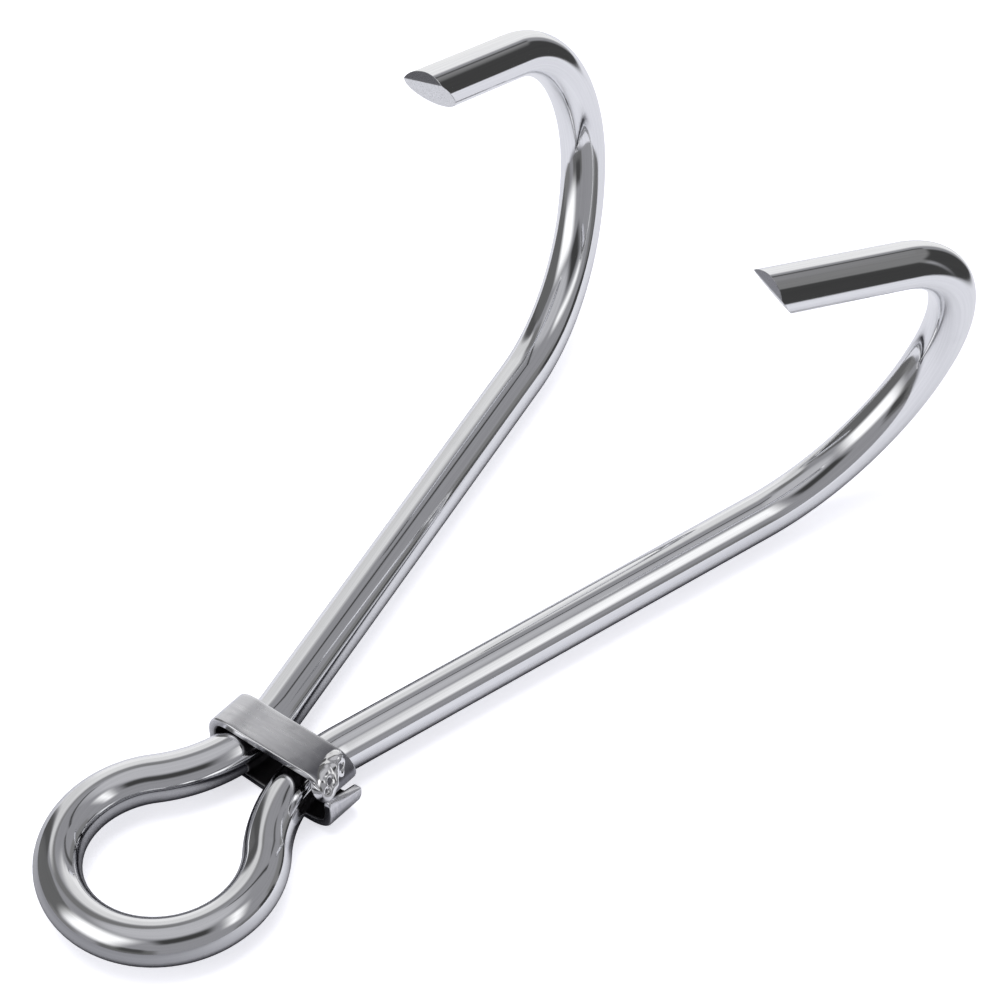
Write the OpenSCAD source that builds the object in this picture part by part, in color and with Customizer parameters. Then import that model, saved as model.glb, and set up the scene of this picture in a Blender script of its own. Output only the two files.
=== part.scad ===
// Two-prong hanging hook: one bent wire with a closed eye, two diverging arms
// that curl back into ground prongs, and a loose flat collar round the neck.
// Millimetres. Origin at the centre of the eye, +X towards the hooks, +Z out of
// the plane of the eye on the side that the hooks rise, +Y the left arm's side.

/* [Wire] */
// Diameter of the bent wire
wire_d = 5; // [4:0.25:6]

/* [Eye and neck] */
// Radius of the eye, to the middle of the wire
eye_r = 10.5; // [9:0.25:14]
// Radius of the reverse curve at each side of the neck, to the middle of the wire
neck_r = 16.5; // [13:0.5:20]
// Gap between the two wires where the neck is narrowest
neck_gap = 2.5; // [1.5:0.25:4]

/* [Arms] */
// Angle between the two shanks
spread_a = 27.2; // [16:0.2:34]
// Straight length of each shank
shank_l = 53.5; // [35:0.5:75]
// Radius of the gentle lower bend, to the middle of the wire
lower_bend_r = 23; // [16:0.5:30]
// Turn of the gentle lower bend
lower_bend_a = 68; // [55:1:75]
// Radius of the tighter upper bend, to the middle of the wire
upper_bend_r = 15.7; // [10:0.1:20]
// Turn of the tighter upper bend
upper_bend_a = 87.6; // [75:0.2:100]
// Outward lean of each hook from upright
lean_a = 10.7; // [0:0.1:20]

/* [Prongs] */
// Length of a prong, from the bend to its point
prong_l = 22.2; // [16:0.2:30]
// Angle between the ground bevel and the wire
bevel_a = 38; // [30:1:60]
// Angle between the small second facet and the wire
facet_a = 53; // [45:1:70]
// How far round the wire the second facet is turned, towards the left arm's side
facet_turn = 25; // [10:1:60]
// How much shorter the second facet leaves the wire than the bevel would
facet_back = 0.25; // [0.1:0.05:1.5]

/* [Collar] */
// Width of the collar strap, along the neck
strap_w = 4.6; // [3.5:0.1:7]
// Thickness of the collar strap
strap_t = 1; // [0.8:0.1:1.5]
// Play between the wires and the inside of the collar
collar_play = 0.35; // [0.3:0.05:0.6]
// Extra room inside the collar's right end, next to the weld
weld_room = 1.2; // [0:0.1:2]
// Inside radius of the collar's corners
corner_r = 1.3; // [0.8:0.1:1.6]
// How far the collar sits behind the narrowest place of the neck
collar_setback = 0.8; // [0:0.1:1.5]
// Opening between the strap's two ends, under the weld
seam_gap = 0.6; // [0.3:0.1:1]

/* [Weld] */
// Number of lumps in the weld bead
bead_lumps = 4; // [3:1:6]
// Radius of the small lumps
bead_r = 1.25; // [1:0.05:1.4]
// How much bigger every second lump is
bead_swell = 0.2; // [0:0.05:0.3]

/* [Hidden] */
$fn = 64;

wire_r = wire_d / 2;
LEFT = 1;
RIGHT = -1;
// Longer than anything that a cutting block has to reach across
cut = 4 * wire_d;

// The neck's arc touches the eye's circle where the line of centres crosses it
neck_half = wire_r + neck_gap / 2;
eye_end_a = asin((neck_r + neck_half) / (eye_r + neck_r));
neck_x = (eye_r + neck_r) * cos(eye_end_a);
neck_turn = spread_a / 2 + 90 - eye_end_a;

// The collar clears the wires by the play at its wider, eye end
collar_x0 = neck_x - collar_setback - strap_w / 2;
wire_side = neck_r + neck_half - sqrt(pow(neck_r - wire_r, 2) - pow(neck_x - collar_x0, 2));
band_left = wire_side + collar_play;
band_right = band_left + weld_room;
band_half_y = (band_left + band_right) / 2;
band_half_z = wire_r + collar_play;

// The bead covers the seam, in the upper half of the collar's right end
seam_z = band_half_z - corner_r;
bead_y = -(band_right + strap_t / 2);
bead_z = seam_z + bead_r / 2;
bead_end = bead_r + bead_swell;
bead_pitch = (strap_w - 2 * bead_end) / (bead_lumps - 1);

WIRE_COLOUR = [0.80, 0.81, 0.83];
STRAP_COLOUR = [0.60, 0.60, 0.63];
WELD_COLOUR = [0.72, 0.72, 0.74];

// Each local frame has x along the wire and y towards the inside of the bend

// Straight wire from the local origin along x
module straight(length) {
    rotate([0, 90, 0]) cylinder(d = wire_d, h = length);
}

// Wire that leaves the local origin along x and bends towards +y
module bend(radius, turn) {
    translate([0, radius, 0])
        rotate([0, 0, -90])
            rotate_extrude(angle = turn)
                translate([radius, 0]) circle(d = wire_d);
}

// Places its children where such a bend ends
module past_bend(radius, turn) {
    translate([radius * sin(turn), radius * (1 - cos(turn)), 0])
        rotate([0, 0, turn]) children();
}

// The arms are mirror images: the left one is at +Y
module on_side(side) {
    if (side == LEFT) children();
    else mirror([0, 1, 0]) children();
}

// Where the neck leaves the eye
module at_neck() {
    translate([eye_r * cos(eye_end_a), eye_r * sin(eye_end_a), 0])
        rotate([0, 0, eye_end_a - 90]) children();
}

// Where the straight shank begins
module at_shank() {
    at_neck() past_bend(neck_r, neck_turn) children();
}

// Where the lower bend begins, turned into the leaning plane of the hook
module at_bend() {
    at_shank()
        translate([shank_l, 0, 0])
            rotate([90 - lean_a, 0, 0]) children();
}

// Where the tighter upper bend begins
module at_crook() {
    at_bend() past_bend(lower_bend_r, lower_bend_a) children();
}

// Where the prong begins: its outer side, away from the throat, is at -y
module at_prong() {
    at_crook() past_bend(upper_bend_r, upper_bend_a) children();
}

// Block that removes everything beyond a plane at this angle to the wire,
// through a place on the wire's outer side at this distance
module grind(distance, angle) {
    translate([distance, -wire_r, 0])
        rotate([0, 0, 180 - angle])
            translate([-cut, -cut, -cut]) cube([2 * cut, cut, 2 * cut]);
}

// Bevel that makes the point, and a small facet beside it
module ground_prong(side) {
    difference() {
        straight(prong_l + wire_r);
        grind(prong_l, bevel_a);
        rotate([side * facet_turn, 0, 0]) grind(prong_l - facet_back, facet_a);
    }
}

// Rounded rectangle, centred, in the plane of the collar's section
module rounded(half_y, half_z, radius) {
    for (turn = [0, 180]) rotate(turn) {
        translate([-half_y, radius - half_z]) square([2 * half_y, half_z - radius]);
        translate([radius - half_y, -half_z]) square([2 * (half_y - radius), half_z]);
        for (side = [-1, 1])
            translate([side * (half_y - radius), half_z - radius]) circle(r = radius);
    }
}

// Turns a section drawn about the collar's middle into a prism along X
module along_neck(start, length) {
    translate([start, (band_left - band_right) / 2, 0])
        rotate([90, 0, 90]) linear_extrude(height = length) children();
}

// The strap's outline, filled
module collar_outline(start, length) {
    along_neck(start, length)
        rounded(band_half_y + strap_t, band_half_z + strap_t, corner_r + strap_t);
}

// Everything inside the strap, from end to end and past both ends
module collar_inside() {
    along_neck(collar_x0 - strap_w, 3 * strap_w) rounded(band_half_y, band_half_z, corner_r);
}

// Slot between the strap's two ends, reaching this far into the collar's inside
module seam(reach) {
    translate([collar_x0 - strap_w, -cut, seam_z - seam_gap / 2])
        cube([3 * strap_w, cut - band_right + reach, seam_gap]);
}

module eye() {
    color(WIRE_COLOUR)
        rotate([0, 0, eye_end_a])
            rotate_extrude(angle = 360 - 2 * eye_end_a)
                translate([eye_r, 0]) circle(d = wire_d);
}

module neck(side) {
    color(WIRE_COLOUR) on_side(side) at_neck() bend(neck_r, neck_turn);
}

module shank(side) {
    color(WIRE_COLOUR) on_side(side) at_shank() straight(shank_l);
}

module lower_bend(side) {
    color(WIRE_COLOUR) on_side(side) at_bend() bend(lower_bend_r, lower_bend_a);
}

module crook(side) {
    color(WIRE_COLOUR) on_side(side) at_crook() bend(upper_bend_r, upper_bend_a);
}

module prong(side) {
    color(WIRE_COLOUR) on_side(side) at_prong() ground_prong(side);
}

// Flat strap bent into a ring, open at the seam in its right end
module collar_band() {
    color(STRAP_COLOUR) difference() {
        collar_outline(collar_x0, strap_w);
        collar_inside();
        seam(strap_t);
    }
}

// Row of lumps that fills the seam and stands proud of the strap
module collar_weld() {
    color(WELD_COLOUR) difference() {
        for (i = [0 : bead_lumps - 1])
            translate([collar_x0 + bead_end + i * bead_pitch, bead_y, bead_z])
                sphere(r = bead_r + bead_swell * (i % 2));
        difference() {
            collar_outline(collar_x0 - strap_w, 3 * strap_w);
            seam(0);
        }
    }
}

eye();
neck(LEFT);  // left_neck
neck(RIGHT);  // right_neck
shank(LEFT);  // left_shank
shank(RIGHT);  // right_shank
lower_bend(LEFT);  // left_bend
lower_bend(RIGHT);  // right_bend
crook(LEFT);  // left_crook
crook(RIGHT);  // right_crook
prong(LEFT);  // left_prong
prong(RIGHT);  // right_prong
collar_band();
collar_weld();
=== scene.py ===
"""Studio scene of a two-prong hanging hook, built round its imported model.

The hook is one polished wire, bent into a closed eye with two arms that curl back
into ground prongs, and a loose flat collar, welded at one side, round its neck.
"""
import logging
from dataclasses import dataclass, field
from enum import Enum
from typing import Any, Sequence

import bpy
import numpy as np
from mathutils import Matrix, Vector


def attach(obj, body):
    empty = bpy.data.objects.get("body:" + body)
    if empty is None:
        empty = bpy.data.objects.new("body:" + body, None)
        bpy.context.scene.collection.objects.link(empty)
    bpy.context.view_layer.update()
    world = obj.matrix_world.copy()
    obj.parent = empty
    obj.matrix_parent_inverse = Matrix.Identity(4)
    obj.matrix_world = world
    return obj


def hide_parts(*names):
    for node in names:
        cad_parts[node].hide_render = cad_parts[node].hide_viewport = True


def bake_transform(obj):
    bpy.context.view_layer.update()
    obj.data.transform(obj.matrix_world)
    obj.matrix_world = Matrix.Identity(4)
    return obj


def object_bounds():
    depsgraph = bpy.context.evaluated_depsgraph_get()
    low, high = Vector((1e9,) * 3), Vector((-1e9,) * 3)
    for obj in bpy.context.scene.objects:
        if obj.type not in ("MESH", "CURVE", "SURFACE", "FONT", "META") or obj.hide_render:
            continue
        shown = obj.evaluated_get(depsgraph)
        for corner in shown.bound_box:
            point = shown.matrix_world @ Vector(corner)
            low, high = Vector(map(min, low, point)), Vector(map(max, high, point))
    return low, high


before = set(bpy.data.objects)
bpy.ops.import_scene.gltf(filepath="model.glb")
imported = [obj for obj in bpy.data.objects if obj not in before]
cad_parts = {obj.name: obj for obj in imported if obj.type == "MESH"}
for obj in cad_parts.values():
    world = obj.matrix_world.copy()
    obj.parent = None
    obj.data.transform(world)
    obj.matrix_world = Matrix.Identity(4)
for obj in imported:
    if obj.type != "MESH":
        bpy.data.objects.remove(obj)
CAD_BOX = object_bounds()

MM = 0.001
LOG = logging.getLogger("hanging_hook")
Colour = tuple[float, float, float, float]
Tree = bpy.types.NodeTree
Node = bpy.types.Node
Socket = bpy.types.NodeSocket
Material = bpy.types.Material
Piece = bpy.types.Object
Array = np.ndarray


class Side(Enum):
    """Which arm of the hook: the left one is at +Y."""

    LEFT = 1
    RIGHT = -1


class Surface(Enum):
    """Material index of each kind of face on a wire."""

    DRAWN = 0
    GROUND = 1


# ---------------------------------------------------------------- mesh helpers


def ring_quads(rows: int, columns: int) -> Array:
    """Quads between neighbouring rings that close on themselves.

    Corner (i, j) is vertex i * columns + j; the quad is (i,j) (i+1,j) (i+1,j+1) (i,j+1).

    Args:
        rows: number of rings.
        columns: points in each ring.

    Returns:
        Integer array (quads, 4).
    """
    i, j = np.meshgrid(np.arange(rows - 1), np.arange(columns), indexing="ij")
    after = (j + 1) % columns
    corners = (i * columns + j, (i + 1) * columns + j, (i + 1) * columns + after, i * columns + after)
    return np.stack(corners, axis=-1).reshape(-1, 4)


def capped_mesh(name: str, rings: Array, poles: Array) -> Piece:
    """Closed tube: a grid of rings with a fan of triangles to a pole at each end.

    Args:
        name: name of the piece.
        rings: array (rows, columns, 3) of points in metres.
        poles: array (2, 3), the first and the last pole.

    Returns:
        The new object, linked to the scene, smooth shaded, at the origin.
    """
    rows, columns = rings.shape[:2]
    points = np.vstack([rings.reshape(-1, 3), poles])
    first, last = rows * columns, rows * columns + 1
    around = np.arange(columns)
    after = (around + 1) % columns
    start = np.stack([np.full(columns, first), around, after], axis=1)
    base = (rows - 1) * columns
    end = np.stack([np.full(columns, last), base + after, base + around], axis=1)
    quads = ring_quads(rows, columns)
    mesh = bpy.data.meshes.new(name)
    mesh.from_pydata(points, [], quads.tolist() + start.tolist() + end.tolist(), shade_flat=False)
    piece = bpy.data.objects.new(name, mesh)
    bpy.context.scene.collection.objects.link(piece)
    return piece


def read_all(items: Any, key: str, each: int = 1, kind: type = float) -> Array:
    """One property of every element of a mesh, with each element's numbers in a row."""
    values = np.empty(len(items) * each, kind)
    items.foreach_get(key, values)
    return values if each == 1 else values.reshape(-1, each)


def face_outwards(piece: Piece) -> None:
    """Turns every face round if the closed mesh has a negative volume."""
    mesh = piece.data
    mesh.calc_loop_triangles()
    corners = read_all(mesh.loop_triangles, "vertices", 3, np.int32)
    a, b, c = np.moveaxis(read_all(mesh.vertices, "co", 3)[corners], 1, 0)
    if np.einsum("ij,ij->i", a, np.cross(b, c)).sum() < 0:
        mesh.flip_normals()


def store(piece: Piece, name: str, values: Array) -> None:
    """Keeps one number or one vector for each vertex as a named attribute.

    Args:
        piece: the object.
        name: name that the materials read.
        values: array (vertices,) or (vertices, 3).
    """
    kind, key = ("FLOAT", "value") if values.ndim == 1 else ("FLOAT_VECTOR", "vector")
    kept = piece.data.attributes.new(name, kind, "POINT")
    kept.data.foreach_set(key, np.ascontiguousarray(values, np.float32).ravel())


def smooth_curve(points: Array, count: int, span_steps: int = 48) -> Array:
    """Even steps along a Catmull-Rom curve through the given points.

    Each span is 0.5 (2b + (c-a)t + (2a-5b+4c-d)t^2 + (3b-a-3c+d)t^3).

    Args:
        points: array (n, k) of points to pass through.
        count: number of points to return.
        span_steps: steps between two given points, from which the even steps are taken.

    Returns:
        Array (count, k), evenly spaced by length.
    """
    padded = np.vstack([2 * points[0] - points[1], points, 2 * points[-1] - points[-2]])
    t = np.linspace(0, 1, span_steps, endpoint=False)[None, :, None]
    a, b, c, d = (padded[k: len(padded) - 3 + k][:, None] for k in range(4))
    square, cube = 2 * a - 5 * b + 4 * c - d, 3 * b - a - 3 * c + d
    curve = 0.5 * (2 * b + (c - a) * t + square * t**2 + cube * t**3)
    curve = np.vstack([curve.reshape(-1, points.shape[1]), points[-1:]])
    length = np.r_[0, np.cumsum(np.linalg.norm(np.diff(curve, axis=0), axis=1))]
    even = np.linspace(0, length[-1], count)
    return np.stack([np.interp(even, length, column) for column in curve.T], axis=1)


# ---------------------------------------------------------------- node helpers


def fill(tree: Tree, node: Node, sockets: dict[str | int, Any]) -> None:
    """Sets each named or numbered input of a node to a value, or links an output socket to it."""
    for key, value in sockets.items():
        if isinstance(value, Socket):
            tree.links.new(value, node.inputs[key])
        else:
            node.inputs[key].default_value = value


def put(tree: Tree, kind: str, settings: dict[str, Any] | None = None,
        sockets: dict[str | int, Any] | None = None) -> Node:
    """Adds a node, sets its properties, and fills or links its inputs.

    Args:
        tree: the node tree.
        kind: Blender's name of the node type.
        settings: properties of the node.
        sockets: a value, or an output socket to link, for each input name or number.

    Returns:
        The new node.
    """
    node = tree.nodes.new(kind)
    for key, value in (settings or {}).items():
        setattr(node, key, value)
    fill(tree, node, sockets or {})
    return node


def attribute(tree: Tree, name: str, output: str = "Fac") -> Socket:
    """Output of an Attribute node that reads a stored mask or vector."""
    return put(tree, "ShaderNodeAttribute", {"attribute_name": name}).outputs[output]


def calc(tree: Tree, operation: str, *values: Any, clamp: bool = False) -> Socket:
    """Result of one Math node on numbers or sockets."""
    sockets = dict(enumerate(values))
    return put(tree, "ShaderNodeMath", {"operation": operation, "use_clamp": clamp}, sockets).outputs[0]


def in_range(tree: Tree, value: Any, low: float, high: float,
             to_low: float = 0.0, to_high: float = 1.0, smooth: bool = False) -> Socket:
    """Maps low..high onto to_low..to_high, clamped, straight or with smooth ends."""
    kind = {"interpolation_type": "SMOOTHSTEP" if smooth else "LINEAR"}
    sockets = {"Value": value, "From Min": low, "From Max": high, "To Min": to_low, "To Max": to_high}
    return put(tree, "ShaderNodeMapRange", kind, sockets).outputs["Result"]


def mix_colour(tree: Tree, factor: Any, a: Any, b: Any) -> Socket:
    """Colour between a and b; each is a colour or a socket."""
    return put(tree, "ShaderNodeMix", {"data_type": "RGBA"}, {0: factor, 6: a, 7: b}).outputs[2]


def new_group(name: str, inputs: dict[str, float | None]) -> tuple[Tree, Any, Socket]:
    """Empty shader node group that turns its inputs into a mask.

    Args:
        name: name of the group.
        inputs: first value of each number, or None for a vector.

    Returns:
        The group, its inputs by name, and the socket that takes the mask.
    """
    group = bpy.data.node_groups.new(name, "ShaderNodeTree")
    for key, value in inputs.items():
        kind = "NodeSocketVector" if value is None else "NodeSocketFloat"
        socket = group.interface.new_socket(key, in_out="INPUT", socket_type=kind)
        if value is not None:
            socket.default_value = value
    group.interface.new_socket("Mask", in_out="OUTPUT", socket_type="NodeSocketFloat")
    into, out = group.nodes.new("NodeGroupInput"), group.nodes.new("NodeGroupOutput")
    return group, into.outputs, out.inputs["Mask"]


def use_group(tree: Tree, group: Tree, sockets: dict[str, Any]) -> Socket:
    """Places a group in a tree with its own values, and gives its mask."""
    return put(tree, "ShaderNodeGroup", {"node_tree": group}, sockets).outputs["Mask"]


@dataclass
class FinishKit:
    """Shader node groups that several finishes share."""

    streaks: Tree = field(init=False)
    smudges: Tree = field(init=False)
    scratches: Tree = field(init=False)

    def __post_init__(self) -> None:
        """Builds each group once."""
        self.streaks = self._streaks()
        self.smudges = self._smudges()
        self.scratches = self._scratches()

    def _streaks(self) -> Tree:
        """Fine lines along the first coordinate, from noise drawn out by Stretch."""
        group, into, out = new_group("Fine streaks", {
            "Vector": None, "Fineness": 6000.0, "Stretch": 0.02, "Sharpness": 0.5})
        parts = put(group, "ShaderNodeSeparateXYZ", None, {0: into["Vector"]})
        along = calc(group, "MULTIPLY", parts.outputs["X"], into["Stretch"])
        drawn = put(group, "ShaderNodeCombineXYZ", None, {
            0: along, 1: parts.outputs["Y"], 2: parts.outputs["Z"]})
        noise = put(group, "ShaderNodeTexNoise", None, {
            "Vector": drawn.outputs[0], "Scale": into["Fineness"], "Detail": 3.0, "Roughness": 0.6})
        centred = calc(group, "SUBTRACT", noise.outputs[0], 0.5)
        gain = calc(group, "ADD", calc(group, "MULTIPLY", into["Sharpness"], 6.0), 1.0)
        mask = calc(group, "ADD", calc(group, "MULTIPLY", centred, gain), 0.5, clamp=True)
        group.links.new(mask, out)
        return group

    def _smudges(self) -> Tree:
        """Soft cloudy patches where handling has dulled the metal."""
        group, into, out = new_group("Handling smudges", {"Vector": None, "Size": 300.0, "Cover": 0.5})
        noise = put(group, "ShaderNodeTexNoise", None, {
            "Vector": into["Vector"], "Scale": into["Size"],
            "Detail": 4.0, "Roughness": 0.55, "Distortion": 0.4})
        low = calc(group, "SUBTRACT", 1.0, into["Cover"])
        high = calc(group, "ADD", low, 0.25)
        node = put(group, "ShaderNodeMapRange", {"interpolation_type": "SMOOTHSTEP"}, {
            "Value": noise.outputs[0], "From Min": low, "From Max": high})
        group.links.new(node.outputs["Result"], out)
        return group

    def _scratches(self) -> Tree:
        """Thin crossing lines: where two drawn-out noises each pass their middle value."""
        group, into, out = new_group("Hairline scratches", {
            "Vector": None, "Density": 900.0, "Width": 0.02})
        masks = []
        for turn, squeeze in ((0.5, 0.06), (-0.9, 0.04)):
            turned = put(group, "ShaderNodeVectorRotate", {"rotation_type": "Z_AXIS"}, {
                "Vector": into["Vector"], "Angle": turn})
            squeezed = put(group, "ShaderNodeVectorMath", {"operation": "MULTIPLY"}, {
                0: turned.outputs[0], 1: (squeeze, 1.0, 1.0)})
            noise = put(group, "ShaderNodeTexNoise", None, {
                "Vector": squeezed.outputs[0], "Scale": into["Density"], "Detail": 1.0})
            off = calc(group, "ABSOLUTE", calc(group, "SUBTRACT", noise.outputs[0], 0.5))
            near = calc(group, "DIVIDE", off, into["Width"])
            masks.append(calc(group, "SUBTRACT", 1.0, near, clamp=True))
        group.links.new(calc(group, "MAXIMUM", *masks), out)
        return group


def fresh_material(name: str, metallic: float = 1.0) -> tuple[
        Material, Tree, Node]:
    """New node material, its tree and its Principled shader, which is metal unless told otherwise."""
    material = bpy.data.materials.new(name)
    material.use_nodes = True
    shader = material.node_tree.nodes["Principled BSDF"]
    shader.inputs["Metallic"].default_value = metallic
    return material, material.node_tree, shader


def add_relief(tree: Tree, shader: Node, height: Socket,
               strength: float, depth: float) -> None:
    """Feeds a height through a Bump node to the shader's normal."""
    bump = put(tree, "ShaderNodeBump", None, {"Strength": strength, "Distance": depth, "Height": height})
    tree.links.new(bump.outputs[0], shader.inputs["Normal"])


@dataclass(frozen=True)
class MirrorWire:
    """Mirror-polished stainless wire with faint drawing lines along it."""

    kit: FinishKit
    bright: Colour = (0.915, 0.92, 0.935, 1.0)
    dulled: Colour = (0.80, 0.805, 0.825, 1.0)
    smoothest: float = 0.045
    dullest: float = 0.13
    line_wear: float = 0.45
    smudge_wear: float = 0.35

    def material(self) -> Material:
        """Chrome-like metal whose roughness follows the drawing lines and smudges."""
        material, tree, shader = fresh_material("mirror_wire")
        drawn = attribute(tree, "drawn", "Vector")
        lines = use_group(tree, self.kit.streaks, {
            "Vector": drawn, "Fineness": 5200.0, "Stretch": 0.012, "Sharpness": 0.6})
        smudges = use_group(tree, self.kit.smudges, {"Vector": drawn, "Size": 260.0, "Cover": 0.42})
        worn = calc(tree, "ADD", calc(tree, "MULTIPLY", lines, self.line_wear),
                    calc(tree, "MULTIPLY", smudges, self.smudge_wear), clamp=True)
        fill(tree, shader, {"Base Color": mix_colour(tree, worn, self.bright, self.dulled),
                            "Roughness": in_range(tree, worn, 0, 1, self.smoothest, self.dullest)})
        return material


@dataclass(frozen=True)
class GroundSteel:
    """Freshly ground steel: fine parallel lines left by the wheel."""

    kit: FinishKit
    bright: Colour = (0.88, 0.885, 0.90, 1.0)
    dark: Colour = (0.62, 0.625, 0.64, 1.0)
    facet_painted_shade: Colour = (0.40, 0.40, 0.42, 1.0)
    smoothest: float = 0.12
    roughest: float = 0.34
    relief: tuple[float, float] = (0.15, 0.01 * MM)

    def material(self) -> Material:
        """Metal with wheel lines across the bevel in its colour, roughness and relief; the facet's colour
        is darkened as painted shade.
        """
        material, tree, shader = fresh_material("ground_steel")
        place = put(tree, "ShaderNodeTexCoord").outputs["Object"]
        lines = use_group(tree, self.kit.streaks, {
            "Vector": place, "Fineness": 9000.0, "Stretch": 0.05, "Sharpness": 0.5})
        tone = mix_colour(tree, lines, self.bright, self.dark)
        # Painted shade: the facet is a darker copy of the same ground steel, standing in for its darker
        # reflection.
        facet = attribute(tree, "facet")
        fill(tree, shader, {"Base Color": mix_colour(tree, facet, tone, self.facet_painted_shade),
                            "Roughness": in_range(tree, lines, 0, 1, self.smoothest, self.roughest)})
        add_relief(tree, shader, lines, *self.relief)
        return material


@dataclass(frozen=True)
class SatinStrap:
    """Flat steel strap: satin and cloudy outside, painted shade inside, greyer near the weld."""

    kit: FinishKit
    bright: Colour = (0.90, 0.90, 0.925, 1.0)
    brushed: Colour = (0.74, 0.74, 0.77, 1.0)
    cloudy: Colour = (0.58, 0.585, 0.61, 1.0)
    inside_painted_shade: Colour = (0.045, 0.042, 0.045, 1.0)
    scratched: Colour = (0.84, 0.845, 0.86, 1.0)
    heat_tint: Colour = (0.20, 0.20, 0.22, 1.0)
    edge_wear_and_highlight: Colour = (0.90, 0.905, 0.925, 1.0)
    smoothest: float = 0.22
    roughest: float = 0.38
    tint_range: tuple[float, float] = (2.0 * MM, -7.8 * MM)
    tint_height: tuple[float, float] = (1.2 * MM, 2.3 * MM)
    tint_drift: float = -0.8 * MM
    tint_most: float = 0.95
    cloud_share: float = 0.5
    scratch_share: float = 0.5
    edge_polish: float = 0.16
    inner_dulling: float = 0.3
    relief: tuple[float, float] = (0.12, 0.02 * MM)

    def material(self) -> Material:
        """Satin metal; the edges are worn bright with a painted highlight, and the weld's heat has greyed
        one end.
        """
        material, tree, shader = fresh_material("satin_strap")
        along = attribute(tree, "drawn", "Vector")
        place = put(tree, "ShaderNodeTexCoord").outputs["Object"]
        edge = attribute(tree, "edge")
        lines = use_group(tree, self.kit.streaks, {
            "Vector": along, "Fineness": 3200.0, "Stretch": 0.12, "Sharpness": 0.1})
        scratches = use_group(tree, self.kit.scratches, {"Vector": along, "Density": 700.0, "Width": 0.012})
        smudges = use_group(tree, self.kit.smudges, {"Vector": place, "Size": 420.0, "Cover": 0.5})
        colour = mix_colour(tree, lines, self.bright, self.brushed)
        cloud = calc(tree, "MULTIPLY", smudges, self.cloud_share)
        colour = mix_colour(tree, cloud, colour, self.cloudy)
        scratched = calc(tree, "MULTIPLY", scratches, self.scratch_share)
        colour = mix_colour(tree, scratched, colour, self.scratched)
        parts = put(tree, "ShaderNodeSeparateXYZ", None, {0: place})
        drift = calc(tree, "MULTIPLY", smudges, self.tint_drift)
        wavy = calc(tree, "ADD", parts.outputs["Y"], drift)
        heat = in_range(tree, wavy, *self.tint_range, 0.0, self.tint_most, smooth=True)
        heat = calc(tree, "MULTIPLY", heat, in_range(tree, parts.outputs["Z"], *self.tint_height))
        colour = mix_colour(tree, heat, colour, self.heat_tint)
        # Painted highlight and wear: the edges are lightened towards the brightest tone.
        colour = mix_colour(tree, edge, colour, self.edge_wear_and_highlight)
        inner = attribute(tree, "inner")
        # Painted shade: the inner face is made near black, standing in for the shade inside the ring.
        colour = mix_colour(tree, inner, colour, self.inside_painted_shade)
        rough = in_range(tree, lines, 0, 1, self.smoothest, self.roughest)
        polish = calc(tree, "MULTIPLY", edge, self.edge_polish)
        rough = calc(tree, "SUBTRACT", rough, polish)
        rough = calc(tree, "ADD", rough, calc(tree, "MULTIPLY", inner, self.inner_dulling))
        fill(tree, shader, {"Base Color": colour, "Roughness": rough})
        add_relief(tree, shader, lines, *self.relief)
        return material


@dataclass(frozen=True)
class BrightWeld:
    """Weld metal: bright crumpled lumps with darker, sooty hollows."""

    kit: FinishKit
    bright: Colour = (0.93, 0.93, 0.94, 1.0)
    sooty: Colour = (0.16, 0.16, 0.17, 1.0)
    smoothest: float = 0.06
    roughest: float = 0.30
    smudge_soot: float = 0.25
    relief: tuple[float, float] = (0.3, 0.04 * MM)

    def material(self) -> Material:
        """Glossy metal that is darker and rougher where the bead is hollow."""
        material, tree, shader = fresh_material("bright_weld")
        place = put(tree, "ShaderNodeTexCoord").outputs["Object"]
        hollow = attribute(tree, "hollow")
        smudges = use_group(tree, self.kit.smudges, {"Vector": place, "Size": 1400.0, "Cover": 0.45})
        smudged = calc(tree, "MULTIPLY", smudges, self.smudge_soot)
        soot = calc(tree, "ADD", hollow, smudged, clamp=True)
        fill(tree, shader, {"Base Color": mix_colour(tree, soot, self.bright, self.sooty),
                            "Roughness": in_range(tree, soot, 0, 1, self.smoothest, self.roughest)})
        add_relief(tree, shader, smudges, *self.relief)
        return material


# ---------------------------------------------------------------- the wire


@dataclass(frozen=True)
class Arc:
    """One stretch of the wire: its length, its curvature and the turn of its plane before it."""

    length: float
    curvature: float
    roll: float = 0.0


@dataclass
class Sweep:
    """Rows of the wire so far: points, normals, and seamless coordinates for the finish."""

    rings: list[Array] = field(default_factory=list)
    normals: list[Array] = field(default_factory=list)
    drawn: list[Array] = field(default_factory=list)


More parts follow.
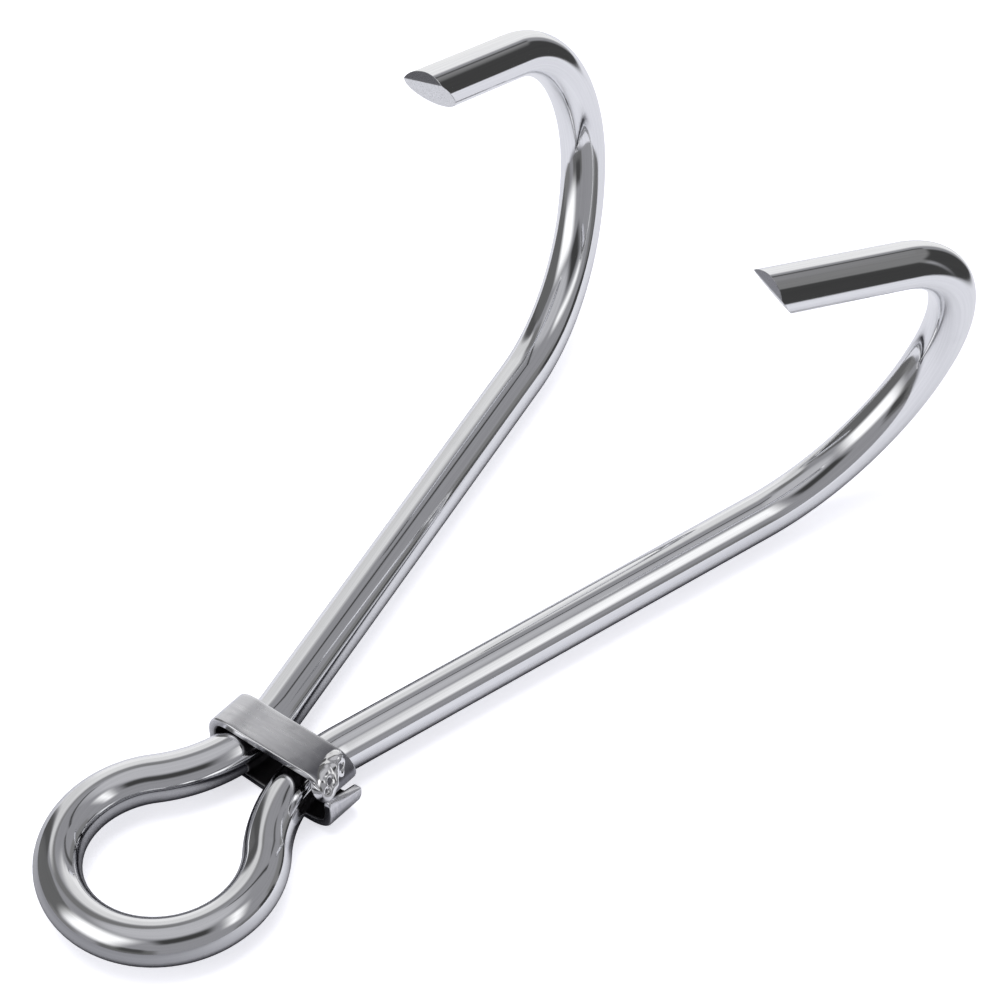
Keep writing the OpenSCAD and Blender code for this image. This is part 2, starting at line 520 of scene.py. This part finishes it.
@dataclass
class HalfWire:
    """Half of the bent wire: from the back of the eye, round the neck, to one prong's point.

    Lengths are in millimetres and angles in degrees; the prongs are the left, then the right.
    """

    side: Side
    wire_r: float = 2.5
    eye_r: float = 10.5
    neck_r: float = 16.5
    neck_gap: float = 2.5
    spread: float = 27.2
    shank: float = 53.5
    lower_bend_r: float = 23.0
    lower_bend: float = 68.0
    upper_bend_r: float = 15.7
    upper_bend: float = 87.6
    lean: float = 10.7
    prongs: tuple[float, float] = (20.1, 22.4)
    bevel: float = 38.0
    facet: float = 75.0
    facet_turn: float = 25.0
    facet_back: float = 1.2
    ridge_blur: float = 0.12
    rim: float = 0.07
    columns: int = 96
    ring_step: float = 0.6
    cap_rings: int = 14
    ridge_steps: int = 20000
    blend_from: float = -8.0
    blend_to: float = 6.9

    @property
    def name(self) -> str:
        """Name of this half: left_wire or right_wire."""
        return f"{self.side.name.lower()}_wire"

    @property
    def body(self) -> str:
        """Name of the arm on this half's side."""
        return f"{self.side.name.lower()}_arm"

    @property
    def prong(self) -> float:
        """Length of this side's prong, from the bend to where the bevel's plane meets its top."""
        return self.prongs[0] if self.side is Side.LEFT else self.prongs[1]

    @property
    def neck_angle(self) -> float:
        """Angle, in radians, at which the eye's circle meets the neck's arc."""
        half_gap = self.wire_r + self.neck_gap / 2
        return float(np.arcsin((self.neck_r + half_gap) / (self.eye_r + self.neck_r)))

    def stretches(self) -> list[Arc]:
        """The wire's arcs and straights in order, up to where the prong begins."""
        neck_turn = np.radians(self.spread / 2 + 90) - self.neck_angle
        lower, upper = np.radians(self.lower_bend), np.radians(self.upper_bend)
        return [
            Arc(self.eye_r * (np.pi - self.neck_angle), -1 / self.eye_r),
            Arc(self.neck_r * neck_turn, 1 / self.neck_r),
            Arc(self.shank, 0.0),
            Arc(self.lower_bend_r * lower, 1 / self.lower_bend_r, np.radians(90 - self.lean)),
            Arc(self.upper_bend_r * upper, 1 / self.upper_bend_r),
        ]

    def columns_round(self) -> Array:
        """Angles round the wire, from the prong's outer side, with two of them on the tip's ridge.

        The ridge is where the bevel and the facet remove the same length of wire.
        """
        turn = np.linspace(0, 2 * np.pi, self.columns, endpoint=False)
        for place in self._ridge_ends():
            turn[np.argmin(np.abs(turn - place))] = place
        return turn

    def _ridge_ends(self) -> Array:
        """Angles round the wire where the tip's ridge starts and ends."""
        fine = np.linspace(0, 2 * np.pi, self.ridge_steps, endpoint=False)
        gap = np.subtract(*self._planes(-np.cos(fine) * self.wire_r, np.sin(fine) * self.wire_r))
        return fine[np.flatnonzero(np.sign(gap) != np.sign(np.roll(gap, -1)))]

    def _planes(self, y: Array, z: Array) -> tuple[Array, Array]:
        """Length of prong that the bevel and the facet leave at (y, z) of its section.

        A plane at angle a leaves prong - (r - outward) / tan(a), where outward is how far the place
        lies towards the plane's own outer side.
        """
        turn = np.radians(self.facet_turn)
        outward = -y * np.cos(turn) - self.side.value * z * np.sin(turn)
        bevel = self.prong - (self.wire_r + y) / np.tan(np.radians(self.bevel))
        facet = self.prong - self.facet_back - (self.wire_r - outward) / np.tan(np.radians(self.facet))
        return bevel, facet

    def build(self) -> Piece:
        """Sweeps the round section along the wire and closes both ends.

        A point of a stretch is start + x sin(ks)/k + y (1 - cos(ks))/k, where k is the
        curvature; the section is the wire's radius times (y cos(a) + z sin(a)).

        Returns:
            The finished piece.
        """
        turn = self.columns_round()
        roll_sum = sum(part.roll for part in self.stretches())
        place = np.array([-self.eye_r, 0.0, 0.0])
        axes = np.array([[0.0, 1.0, 0.0], [-1.0, 0.0, 0.0], [0.0, 0.0, 1.0]])
        rolled, travelled = 0.0, 0.0
        sweep = Sweep()
        for part in self.stretches():
            c, s = np.cos(part.roll), np.sin(part.roll)
            axes = np.array([axes[0], c * axes[1] + s * axes[2], c * axes[2] - s * axes[1]])
            rolled += part.roll
            count = max(2, int(np.ceil(part.length / self.ring_step)))
            steps = np.linspace(0, part.length, count, endpoint=False)
            centres, frames = self._along(part, steps, place, axes)
            self._add_rings(sweep, centres, frames, turn, roll_sum - rolled, travelled + steps)
            ends, last = self._along(part, np.array([part.length]), place, axes)
            place, axes, travelled = ends[0], last[0], travelled + part.length
        self._add_prong(sweep, place, axes, turn, travelled)
        return self._finish(sweep, turn, place, axes)

    @staticmethod
    def _along(part: Arc, steps: Array, place: Array,
               axes: Array) -> tuple[Array, Array]:
        """Centres (n, 3) and axes (n, 3, 3) at the given lengths along a stretch."""
        k = part.curvature
        x, y, z = axes
        if k == 0:
            return place + steps[:, None] * x, np.broadcast_to(axes, (len(steps), 3, 3))
        a = (k * steps)[:, None]
        centres = place + x * np.sin(a) / k + y * (1 - np.cos(a)) / k
        frames = np.stack([x * np.cos(a) + y * np.sin(a), y * np.cos(a) - x * np.sin(a),
                           np.broadcast_to(z, (len(steps), 3))], axis=1)
        return centres, frames

    def _add_rings(self, sweep: Sweep, centres: Array, frames: Array, turn: Array,
                   ahead: float, travelled: Array) -> None:
        """Adds one ring for each centre; ahead is the roll that is still to come."""
        angle = turn - ahead
        outward = (-frames[:, 1, None] * np.cos(angle)[None, :, None]
                   + frames[:, 2, None] * np.sin(angle)[None, :, None])
        sweep.rings.append(centres[:, None] + self.wire_r * outward)
        sweep.normals.append(outward)
        sweep.drawn.append(self._sleeve(travelled[:, None], turn))

    def _sleeve(self, along: Array, turn: Array) -> Array:
        """Seamless wire coordinates (along, r cos a, r sin a), in millimetres."""
        parts = (along, self.wire_r * np.cos(turn), self.wire_r * np.sin(turn))
        return np.stack(np.broadcast_arrays(*parts), axis=-1)

    def _add_prong(self, sweep: Sweep, place: Array, axes: Array, turn: Array,
                   travelled: float) -> None:
        """Adds the straight prong; each column stops where the ground planes cut it."""
        y, z = -np.cos(turn) * self.wire_r, np.sin(turn) * self.wire_r
        length = np.minimum(*self._planes(y, z)) - self.rim
        count = int(self.prong / self.ring_step)
        share = np.linspace(0, 1, count)
        steps = share[:, None] * length
        outward = axes[1] * (y / self.wire_r)[:, None] + axes[2] * (z / self.wire_r)[:, None]
        sweep.rings.append(place + steps[..., None] * axes[0] + self.wire_r * outward)
        sweep.normals.append(np.broadcast_to(outward, (count, len(turn), 3)))
        sweep.drawn.append(self._sleeve(travelled + steps, turn))

    def _finish(self, sweep: Sweep, turn: Array, place: Array, axes: Array) -> Piece:
        """Closes the ends, turns the right half over, and puts everything into the mesh."""
        y, z = -np.cos(turn) * self.wire_r, np.sin(turn) * self.wire_r
        ends = self._ridge_ends()
        centre = np.array([(-np.cos(ends) * self.wire_r).mean(), (np.sin(ends) * self.wire_r).mean()])
        inner = 1 - self.rim / self.wire_r
        shrink = np.linspace(inner, 0, self.cap_rings, endpoint=False)[:, None]
        cap_y = centre[0] + shrink * (y - centre[0])
        cap_z = centre[1] + shrink * (z - centre[1])
        reach = np.minimum(*self._planes(cap_y, cap_z))
        cap = place + reach[..., None] * axes[0] + cap_y[..., None] * axes[1] + cap_z[..., None] * axes[2]
        tip_reach = float(np.minimum(*self._planes(centre[0], centre[1])))
        tip = place + tip_reach * axes[0] + centre[0] * axes[1] + centre[1] * axes[2]
        body = np.vstack(sweep.rings)
        start = body[0].mean(axis=0)
        wall_rows = len(body)
        grid = np.vstack([body, cap]) * MM
        poles = np.array([start, tip]) * MM
        vertex_normals = np.vstack(sweep.normals)
        if self.side is Side.RIGHT:
            mirror = np.array([1.0, -1.0, 1.0])
            grid, poles, vertex_normals = grid * mirror, poles * mirror, vertex_normals * mirror
        piece = capped_mesh(self.name, grid, poles)
        face_outwards(piece)
        end = sweep.drawn[-1][-1, :, 0].mean()
        flat = np.stack([np.full(cap_y.shape, end), cap_y, cap_z], axis=-1)
        sleeve = np.vstack([*sweep.drawn, flat]).reshape(-1, 3)
        poles_drawn = np.array([[0.0, 0.0, 0.0], [end, centre[0], centre[1]]])
        store(piece, "drawn", np.vstack([sleeve, poles_drawn]) * MM)
        ahead = np.subtract(*self._planes(cap_y, cap_z))
        facet = np.clip(ahead / self.ridge_blur, 0, 1)
        store(piece, "facet", np.r_[np.zeros(wall_rows * self.columns), facet.ravel(), 0, 0])
        self._shade(piece, wall_rows, vertex_normals)
        return piece

    def _shade(self, piece: Piece, wall_rows: int, vertex_normals: Array) -> None:
        """Gives wall corners their exact round normals and every other corner its face's own."""
        mesh = piece.data
        wall_points = wall_rows * self.columns
        faces = len(mesh.polygons)
        loop_vertex = read_all(mesh.loops, "vertex_index", kind=np.int32)
        face = np.repeat(np.arange(faces), read_all(mesh.polygons, "loop_total", kind=np.int32))
        on_wall = np.arange(faces) < (wall_rows - 1) * self.columns
        corner = read_all(mesh.polygons, "normal", 3)[face]
        smooth = on_wall[face] & (loop_vertex < wall_points)
        corner[smooth] = vertex_normals.reshape(-1, 3)[loop_vertex[smooth]]
        quads = faces - 2 * self.columns
        kind = np.where(on_wall, Surface.DRAWN.value, Surface.GROUND.value).astype(np.int32)
        kind[quads: quads + self.columns] = Surface.DRAWN.value
        mesh.polygons.foreach_set("material_index", kind)
        mesh.normals_split_custom_set(corner.tolist())
        mesh.update()

    def dress(self, piece: Piece, polished: Material,
              ground: Material) -> Piece:
        """Gives the half its finishes, ground for the bevel and the facet, and hides the model's parts that
        it replaces.
        """
        for material in (polished, ground):
            piece.data.materials.append(material)
        word = self.side.name.lower()
        parts = ("neck", "shank", "bend", "crook", "prong")
        self.body
        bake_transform(piece)
        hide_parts("eye", *(f"{word}_{part}" for part in parts))
        return piece


# ---------------------------------------------------------------- the collar


@dataclass
class CollarStrap:
    """Flat strap bent into a loose ring, its lower end lapping up outside the weld.

    Lengths are in millimetres; the ring is drawn in the plane across the neck.
    """

    front: float = 14.76
    width: float = 4.6
    thickness: float = 1.0
    corner: float = 0.22
    bends: tuple[tuple[float, float], ...] = (
        (-8.62, 1.85), (-8.42, 2.6), (-7.95, 3.25), (-7.2, 3.72), (-6.1, 3.86), (-3.0, 3.62), (0.0, 3.39),
        (3.0, 3.18), (5.1, 3.08), (6.45, 2.62), (7.15, 1.55), (7.32, 0.2), (7.2, -1.25), (6.5, -2.55),
        (5.1, -3.12), (2.0, -3.16), (-2.0, -3.14), (-5.0, -3.02), (-7.2, -2.62), (-8.4, -1.85),
        (-8.82, -0.7), (-8.86, 0.4), (-8.8, 1.45))
    lip_slant: float = 1.3
    lip_flare: float = 0.05
    lip_reach: float = 3.0
    path_steps: int = 260
    edge_steps: int = 6
    side_steps: int = 18
    edge_wear_and_highlight: float = 0.85
    wear_and_highlight_reach: float = 1.2

    def section(self) -> tuple[Array, Array]:
        """Rounded rectangle of the strap: place across the width and across the thickness.

        Returns:
            Two arrays, in millimetres, that go once round the section.
        """
        half_w, half_t, r = self.width / 2, self.thickness / 2, self.corner
        sweep = np.linspace(0, np.pi / 2, self.edge_steps)
        run = np.linspace(-1, 1, self.side_steps)[1:-1]
        across, through = [], []
        for x, y, quarter in ((1, 1, 0), (-1, 1, 1), (-1, -1, 2), (1, -1, 3)):
            angle = sweep + quarter * np.pi / 2
            across.append(x * (half_w - r) + r * np.cos(angle))
            through.append(y * (half_t - r) + r * np.sin(angle))
            if x == y:
                across.append(-y * run * (half_w - r))
                through.append(np.full(len(run), y * half_t))
        return np.concatenate(across), np.concatenate(through)

    def build(self) -> Piece:
        """Carries the section along the ring.

        A point is path(u) + thickness offset * path normal, at front + width share along X; near
        the path's end, the lip, the back edge is lowered by the slant and moved out by the flare.

        Returns:
            The finished piece.
        """
        half_w, half_t = self.width / 2, self.thickness / 2
        across, through = self.section()
        path = smooth_curve(np.array(self.bends), self.path_steps)
        length = np.linalg.norm(np.diff(path, axis=0), axis=1).sum()
        tangent = np.gradient(path, axis=0)
        tangent /= np.linalg.norm(tangent, axis=1)[:, None]
        outward = np.stack([-tangent[:, 1], tangent[:, 0]], axis=1)
        round_off = self.corner * (1 - np.cos(np.linspace(np.pi / 2, 0, self.edge_steps)))
        inset = np.zeros(len(path))
        inset[: self.edge_steps] = round_off
        inset[-self.edge_steps:] = round_off[::-1]
        scale_w, scale_t = 1 - inset[:, None] / half_w, 1 - inset[:, None] / half_t
        x = self.front + half_w + across[None] * scale_w
        back = np.clip(across[None] / self.width + 0.5, 0, 1)
        left_to_go = length * (1 - np.linspace(0, 1, len(path)))[:, None]
        near_lip = np.clip(1 - left_to_go / self.lip_reach, 0, 1) ** 2
        offset = through[None] * scale_t
        y = path[:, 0, None] + outward[:, 0, None] * offset
        z = path[:, 1, None] + outward[:, 1, None] * offset
        y = y - near_lip * back * self.lip_flare
        z = z - near_lip * back * self.lip_slant
        rings = np.stack([x, y, z], axis=-1)
        poles = np.array([rings[0].mean(axis=0), rings[-1].mean(axis=0)])
        piece = capped_mesh("collar_strap", rings * MM, poles * MM)
        face_outwards(piece)
        along = np.broadcast_to(length - left_to_go, x.shape)
        drawn = np.stack([along, x, offset], axis=-1).reshape(-1, 3)
        ends = np.array([[0, x.mean(), 0], [length, x.mean(), 0]])
        store(piece, "drawn", np.vstack([drawn, ends]) * MM)
        # Edge mask for wear and painted highlight, rising across the rounded corners.
        flat_w = half_w - self.wear_and_highlight_reach * self.corner
        rim = np.clip((np.abs(across) - flat_w) / self.corner, 0, 1) * self.edge_wear_and_highlight
        store(piece, "edge", np.r_[np.broadcast_to(rim, x.shape).ravel(), 0, 0])
        # Mask of the inner face, where the finish paints shade.
        inner = np.clip(-through / half_t * 2 - 1, 0, 1)
        store(piece, "inner", np.r_[np.broadcast_to(inner, x.shape).ravel(), 0, 0])
        return piece

    def dress(self, piece: Piece, finish: Material) -> Piece:
        """Gives the strap its finish and lets it ride on the collar."""
        piece.data.materials.append(finish)
        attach(piece, "collar")
        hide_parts("collar_band")
        return piece


@dataclass
class WeldBead:
    """Lumpy bead of weld metal that closes the collar at its right end.

    Lengths are in millimetres. Each blob and each pit is (share of the bead's length,
    angle round it from its top in degrees, size, height as a share of the bead's radius).
    """

    front: tuple[float, float, float] = (14.4, -7.95, 2.35)
    back: tuple[float, float, float] = (19.3, -6.95, 3.75)
    long_r: float = 1.85
    short_r: float = 1.5
    narrowing: float = 0.3
    lean: float = 60.0
    around: float = 1.5
    blobs: tuple[tuple[float, float, float, float], ...] = (
        (0.12, 45, 0.75, 0.14), (0.18, 125, 0.70, 0.16), (0.42, 105, 0.50, 0.20), (0.44, 35, 0.65, 0.10),
        (0.60, 70, 0.50, 0.20), (0.70, 125, 0.60, 0.14), (0.84, 60, 0.60, 0.18), (0.92, 110, 0.50, 0.14))
    pits: tuple[tuple[float, float, float, float], ...] = (
        (0.32, 80, 0.34, -0.46), (0.15, 92, 0.26, -0.26), (0.73, 92, 0.28, -0.34), (0.53, 118, 0.24, -0.24))
    ripple: float = 0.009
    ripples: tuple[tuple[float, float, float], ...] = ((5, 23, 0), (7, -31, 0.8))
    fullness: float = 2.8
    soot_gain: float = 3.2
    soot_start: float = 0.15
    rows: int = 190
    columns: int = 160

    def _spots(self, spots: tuple, t: Array, a: Array) -> Array:
        """Sum of round bumps, height times exp(-distance^2 / size^2), along and round the bead."""
        share, degrees, size, height = (np.array(column)[:, None, None] for column in zip(*spots))
        turned = (a - np.radians(degrees) + np.pi) % (2 * np.pi) - np.pi
        run = np.linalg.norm(np.subtract(self.back, self.front))
        apart = ((t - share) * run) ** 2 + (turned * self.around) ** 2
        return (height * np.exp(-apart / size**2)).sum(axis=0)

    def build(self) -> Piece:
        """Lumpy ellipsoid: radius times 1 + blobs + pits + ripples, along the line front to back.

        The plain radius is (1 - |2t - 1|^f)^(1/f) (1 - n t) at share t of the length, with f
        the fullness and n the narrowing.

        Returns:
            The finished piece.
        """
        share = (1 - np.cos(np.linspace(0, np.pi, self.rows + 2)[1:-1])) / 2
        angle = np.linspace(0, 2 * np.pi, self.columns, endpoint=False)
        t, a = np.meshgrid(share, angle, indexing="ij")
        profile = (1 - np.abs(2 * t - 1) ** self.fullness) ** (1 / self.fullness)
        sunk = self._spots(self.pits, t, a)
        ripple = self.ripple * sum(np.sin(k * a + m * t + ahead) for k, m, ahead in self.ripples)
        swell = profile * (1 - self.narrowing * t) * (1 + self._spots(self.blobs, t, a) + sunk + ripple)
        lean = np.radians(self.lean)
        long_axis = np.array([0, np.cos(lean), np.sin(lean)])
        short_axis = np.array([0, -np.sin(lean), np.cos(lean)])
        start, end = np.array(self.front), np.array(self.back)
        line = start + (end - start) * t[..., None]
        rings = (line + (self.long_r * swell * np.cos(a))[..., None] * long_axis
                 + (self.short_r * swell * np.sin(a))[..., None] * short_axis)
        piece = capped_mesh("weld_bead", rings * MM, np.array([start, end]) * MM)
        face_outwards(piece)
        hollow = np.clip(-sunk * self.soot_gain - self.soot_start, 0, 1)
        store(piece, "hollow", np.r_[hollow.ravel(), 0, 0])
        return piece

    def dress(self, piece: Piece, finish: Material) -> Piece:
        """Gives the bead its finish and lets it ride on the collar."""
        piece.data.materials.append(finish)
        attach(piece, "collar")
        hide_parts("collar_weld")
        return piece


# ---------------------------------------------------------------- the studio


def heading(azimuth: float, elevation: float) -> Array:
    """Unit vector at these angles, in degrees, from +X towards +Y and up."""
    az, el = np.radians(azimuth), np.radians(elevation)
    return np.array([np.cos(el) * np.cos(az), np.cos(el) * np.sin(az), np.sin(el)])


@dataclass(frozen=True)
class Card:
    """Far white or dark card round the hook; angles in degrees, level as light.

    Roll leans the card's top towards lower azimuths when it is negative.
    """

    azimuth: float
    elevation: float
    half_width: float
    half_height: float
    softness: float
    level: float
    roll: float = 0.0

    def axes(self) -> tuple[Array, Array, Array]:
        """Unit vectors to the card's middle, along its width and along its height."""
        middle, level = heading(self.azimuth, self.elevation), heading(self.azimuth - 90, 0)
        turn = np.radians(self.roll)
        upright = np.cross(level, middle)
        right = np.cos(turn) * level + np.sin(turn) * upright
        return middle, right, np.cross(right, middle)


@dataclass
class Studio:
    """Plain pale floor, soft light all round, and the cards that the polished metal mirrors."""

    wall: Colour = (0.29, 0.29, 0.305, 1.0)
    ceiling: Colour = (0.50, 0.50, 0.52, 1.0)
    ceiling_edge: tuple[float, float] = (0.86, 0.95)
    white: Colour = (1.0, 1.0, 1.0, 1.0)
    floor_size: float = 6.0
    floor_points: int = 9
    floor_tones: tuple[Colour, Colour] = ((0.84, 0.845, 0.89, 1.0), (0.87, 0.875, 0.92, 1.0))
    floor_glow: Colour = (0.65, 0.65, 0.68, 1.0)
    floor_rough: float = 0.9
    # Painted shade on the floor as the metal mirrors it: its colour, and the reach and range of the
    # occlusion that places it.
    painted_contact_shade: Colour = (0.07, 0.07, 0.08, 1.0)
    shade_reach: float = 0.014
    shade_range: tuple[float, float] = (0.4, 0.95)
    lamp_power: float = 11.0
    lamp_size: tuple[float, float] = (1.2, 0.9)
    lamp_place: tuple[float, float, float] = (0.1, 0.15, 1.4)
    lamp_aim: tuple[float, float, float] = (0.05, 0.0, 0.0)
    sheet_low: tuple[float, float] = (-0.045, -0.07)
    sheet_left: float = 0.075
    sheet_slant: tuple[float, float, float] = (0.885, -0.469, 0.133)
    sheet_blur: float = 0.006
    eye_shade: tuple[float, float, float, float] = (-0.03, 0.03, 0.3, 1.0)
    cards: tuple[Card, ...] = (
        Card(112, -2, 26, 50, 5, 0.135),
        Card(140, -8, 14, 11, 6, 0.20),
        Card(-166, -2, 22, 15, 5, 0.14),
        Card(-163, 8, 10, 8, 4, 0.065),
        Card(-22, 9, 24, 11, 4, 0.21),
        Card(-70, -14, 12, 20, 5, 0.16),
        Card(-49, -21, 11, 29, 3, 0.05),
        Card(-15, -22, 18, 28, 3.5, 0.052),
        Card(43, -4, 30, 42, 5, 0.88),
        Card(45, 33, 22, 13, 6, 0.74),
        Card(69, 10, 6, 40, 4, 0.66),
        Card(82, 10, 6, 28, 3.5, 0.09),
        Card(4, 27, 2.2, 20, 1.5, 0.09),
        Card(9, 58, 13, 1.6, 1.2, 0.045, -40),
        Card(66, 56, 9, 8, 4, 0.18),
        Card(-120, 50, 18, 11, 6, 0.05),
        Card(161, 34, 22, 22, 12, 1.2),
        Card(-71, 41, 6, 18, 7, 1.1, 28),
    )

    def card_mask(self) -> Tree:
        """Group that says where a direction hits a card.

        With d the direction and c, r, u the card's middle, right and up: x = d.r / d.c and
        y = d.u / d.c; the mask is 1 where |x| and |y| are within the card and d.c is above 0.05.
        """
        group, into, out = new_group("Card mask", {
            "Direction": None, "Centre": None, "Right": None, "Up": None,
            "Half Width": 0.3, "Half Height": 0.3, "Softness": 0.05})

        def dot(name: str) -> Socket:
            """Dot product of the direction with one of the card's axes."""
            node = put(group, "ShaderNodeVectorMath", {"operation": "DOT_PRODUCT"}, {
                0: into["Direction"], 1: into[name]})
            return node.outputs["Value"]

        ahead, least = dot("Centre"), 0.05
        safe = calc(group, "MAXIMUM", ahead, least)
        mask = calc(group, "GREATER_THAN", ahead, least)
        for axis, size in (("Right", "Half Width"), ("Up", "Half Height")):
            off = calc(group, "ABSOLUTE", calc(group, "DIVIDE", dot(axis), safe))
            inner = calc(group, "SUBTRACT", into[size], into["Softness"])
            outer = calc(group, "ADD", into[size], into["Softness"])
            edge = put(group, "ShaderNodeMapRange", {"interpolation_type": "SMOOTHSTEP"}, {
                "Value": off, "From Min": inner, "From Max": outer, "To Min": 1.0, "To Max": 0.0})
            mask = calc(group, "MULTIPLY", mask, edge.outputs["Result"])
        group.links.new(mask, out)
        return group

    def build_light(self) -> None:
        """World light: grey walls, lighter ceiling, and the cards."""
        world = bpy.data.worlds.new("studio")
        bpy.context.scene.world = world
        world.use_nodes = True
        tree = world.node_tree
        tree.nodes.clear()
        direction = put(tree, "ShaderNodeTexCoord").outputs["Generated"]
        height = put(tree, "ShaderNodeSeparateXYZ", None, {0: direction}).outputs["Z"]
        overhead = in_range(tree, height, *self.ceiling_edge, smooth=True)
        colour = mix_colour(tree, overhead, self.wall, self.ceiling)
        group = self.card_mask()
        for card in self.cards:
            middle, right, upward = (tuple(axis) for axis in card.axes())
            mask = use_group(tree, group, {
                "Direction": direction, "Centre": middle, "Right": right, "Up": upward,
                "Half Width": np.tan(np.radians(card.half_width)),
                "Half Height": np.tan(np.radians(card.half_height)),
                "Softness": np.tan(np.radians(card.softness))})
            colour = mix_colour(tree, mask, colour, (card.level,) * 3 + (1.0,))
        seen = put(tree, "ShaderNodeLightPath").outputs["Is Camera Ray"]
        colour = mix_colour(tree, seen, colour, self.white)
        background = put(tree, "ShaderNodeBackground", None, {"Color": colour})
        output = put(tree, "ShaderNodeOutputWorld")
        tree.links.new(background.outputs[0], output.inputs["Surface"])

    def build_lamp(self) -> None:
        """Large soft overhead lamp for the floor and the satin metal, not mirrored itself."""
        lamp = bpy.data.lights.new("overhead_softbox", "AREA")
        lamp.shape, lamp.energy = "RECTANGLE", self.lamp_power
        lamp.size, lamp.size_y = self.lamp_size
        holder = bpy.data.objects.new("overhead_softbox", lamp)
        holder.location = self.lamp_place
        facing = Vector(self.lamp_aim) - holder.location
        holder.rotation_euler = facing.to_track_quat("-Z", "Y").to_euler()
        holder.visible_glossy = False
        bpy.context.scene.collection.objects.link(holder)

    def floor_finish(self) -> Material:
        """Matt white; past the edges of a small sheet, mirrored rays go on to the walls.

        Inside the sheet, x and y are above sheet_low, y is below sheet_left, and
        (x, y) . slant is below the slanted edge's distance. What the metal mirrors of the sheet
        has painted shade: darker close under the hook and towards the eye; the camera sees it plain.

        Returns:
            The floor's material.
        """
        material, tree, shader = fresh_material("pale_floor", metallic=0.0)
        place = put(tree, "ShaderNodeTexCoord").outputs["Object"]
        grain = put(tree, "ShaderNodeTexNoise", None, {"Vector": place, "Scale": 400.0, "Detail": 2.0})
        tone = mix_colour(tree, grain.outputs[0], *self.floor_tones)
        seen = put(tree, "ShaderNodeLightPath").outputs["Is Camera Ray"]
        # Painted shade for mirrored rays: the floor's colour goes near black close under the hook, found by
        # ambient occlusion, and darker towards the eye; camera rays see the plain tone.
        near = put(tree, "ShaderNodeAmbientOcclusion", {"samples": 8}, {"Distance": self.shade_reach})
        parts = put(tree, "ShaderNodeSeparateXYZ", None, {0: place})
        x, y = parts.outputs["X"], parts.outputs["Y"]
        unshaded = in_range(tree, near.outputs["AO"], *self.shade_range, smooth=True)
        lit = calc(tree, "MULTIPLY", unshaded, in_range(tree, x, *self.eye_shade, smooth=True))
        lit = calc(tree, "MAXIMUM", lit, seen)
        fill(tree, shader, {
            "Base Color": mix_colour(tree, lit, self.painted_contact_shade, tone), "Emission Strength": seen,
            "Roughness": self.floor_rough, "Specular IOR Level": 0.0, "Emission Color": self.floor_glow})
        slant = calc(tree, "ADD", calc(tree, "MULTIPLY", x, self.sheet_slant[0]),
                     calc(tree, "MULTIPLY", y, self.sheet_slant[1]))
        blur, cover = self.sheet_blur, None
        for value, edge, way in ((x, self.sheet_low[0], 1), (y, self.sheet_low[1], 1),
                                 (y, self.sheet_left, -1), (slant, self.sheet_slant[2], -1)):
            side = in_range(tree, value, edge - way * blur, edge + way * blur, smooth=True)
            cover = side if cover is None else calc(tree, "MULTIPLY", cover, side)
        shown = calc(tree, "MAXIMUM", cover, seen)
        clear = put(tree, "ShaderNodeBsdfTransparent")
        mixed = put(tree, "ShaderNodeMixShader", None, {
            0: shown, 1: clear.outputs[0], 2: shader.outputs[0]})
        tree.links.new(mixed.outputs[0], tree.nodes["Material Output"].inputs["Surface"])
        return material

    def build_floor(self, height: float) -> Piece:
        """Flat pale floor, level with the bottom of the collar.

        Args:
            height: the floor's level in metres.

        Returns:
            The floor.
        """
        half, count = self.floor_size / 2, self.floor_points
        x, y = np.meshgrid(*[np.linspace(-half, half, count)] * 2, indexing="ij")
        points = np.stack([x, y, np.full(x.shape, height)], axis=-1).reshape(-1, 3)
        i, j = np.meshgrid(*[np.arange(count - 1)] * 2, indexing="ij")
        corner = (i * count + j).ravel()
        quads = np.stack([corner, corner + count, corner + count + 1, corner + 1], axis=1)
        mesh = bpy.data.meshes.new("floor")
        mesh.from_pydata(points, [], quads.tolist())
        floor = bpy.data.objects.new("floor", mesh)
        bpy.context.scene.collection.objects.link(floor)
        mesh.materials.append(self.floor_finish())
        return floor


@dataclass
class ViewCamera:
    """Camera above and behind the eye, looking down along the hook."""

    place: tuple[float, float, float] = (-0.1664, -0.2109, 0.3291)
    forward: tuple[float, float, float] = (0.4952, 0.4783, -0.7253)
    upward: tuple[float, float, float] = (0.565, 0.4568, 0.687)
    lens: float = 151.6
    sensor: float = 36.0
    clip: tuple[float, float] = (0.01, 20.0)

    def build(self) -> Piece:
        """Makes the camera and sets it as the scene's."""
        data = bpy.data.cameras.new("view")
        data.lens, data.sensor_width = self.lens, self.sensor
        data.clip_start, data.clip_end = self.clip
        camera = bpy.data.objects.new("view", data)
        back = -Vector(self.forward).normalized()
        right = Vector(self.upward).cross(back).normalized()
        turn = Matrix((right, back.cross(right), back)).transposed().to_4x4()
        camera.matrix_world = Matrix.Translation(Vector(self.place)) @ turn
        bpy.context.scene.collection.objects.link(camera)
        bpy.context.scene.camera = camera
        return camera


def report(piece: Piece) -> None:
    """Logs a piece's name and its number of faces."""
    LOG.info("%s: %d faces", piece.name, len(piece.data.polygons))


def main() -> None:
    """Builds the camera, the hook's pieces and the studio in order."""
    logging.basicConfig(level=logging.INFO, format="%(name)s: %(message)s")
    bpy.context.scene.view_settings.view_transform = "Standard"
    ViewCamera().build()
    kit = FinishKit()
    polished, ground = MirrorWire(kit).material(), GroundSteel(kit).material()
    for side in Side:
        half = HalfWire(side)
        report(half.dress(half.build(), polished, ground))
    strap, bead = CollarStrap(), WeldBead()
    report(strap.dress(strap.build(), SatinStrap(kit).material()))
    report(bead.dress(bead.build(), BrightWeld(kit).material()))
    studio = Studio()
    studio.build_light()
    studio.build_lamp()
    report(studio.build_floor(float(CAD_BOX[0][2])))


if __name__ == "__main__":
    main()
